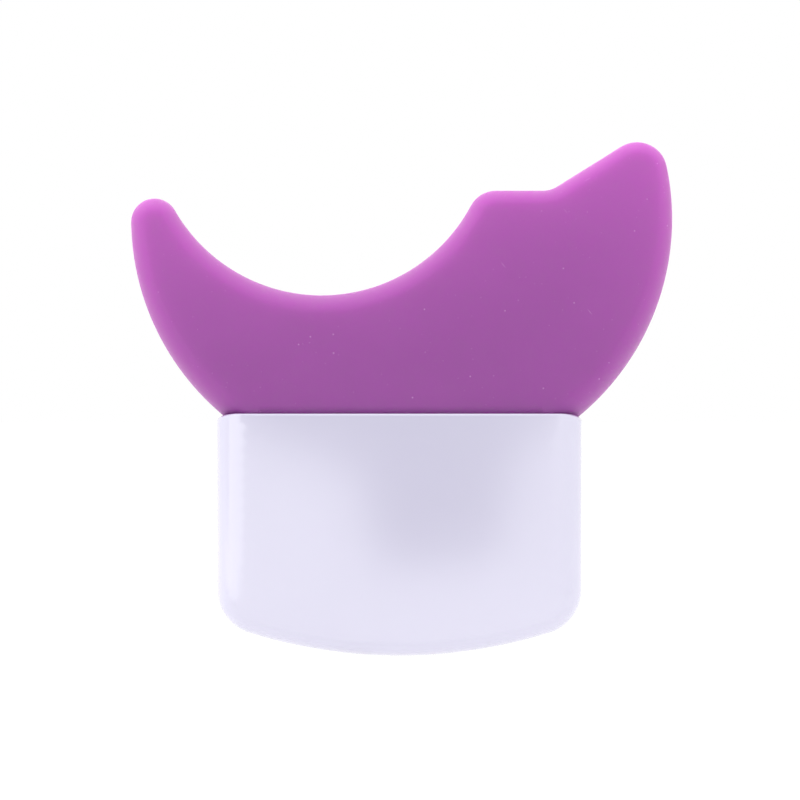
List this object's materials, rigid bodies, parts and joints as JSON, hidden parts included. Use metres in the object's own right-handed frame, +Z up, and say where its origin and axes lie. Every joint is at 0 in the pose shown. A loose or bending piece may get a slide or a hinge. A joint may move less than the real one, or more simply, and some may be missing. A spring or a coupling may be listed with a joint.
{
  "type": "eye make-up guide",
  "caption": "Hand-held silicone guide blade with a concave lash edge, a ledge and a liner slope, on a rigid core that plugs into a glossy pull-off handle sleeve.",
  "frame": {"origin": "the lowest point of the sleeve's curved base, under the middle of the sleeve; the blade reaches 0.6 mm further to the right than to the left, so the whole box is centred 0.3 mm to the right of it", "axes": "+Z up from the base to the blade's tips, +X across the width towards the higher tip, +Y through the thickness towards the back"},
  "size_m": [0.0702, 0.011, 0.0665],
  "materials": {
    "handle_gloss": "glossy, very pale lavender white",
    "core_plastic": "moulded, natural milky white",
    "silicone": "satin translucent orchid purple silicone"
  },
  "bodies": {
    "handle": {"handle_sleeve": "handle_gloss"},
    "blade": {"blade_core": "core_plastic", "silicone_blade": "silicone"}
  },
  "joints": [
    {"name": "blade_pull", "type": "slide", "parent": "handle", "child": "blade", "axis": [0, 0, 1], "range_m": [0, 0.022]}
  ]
}
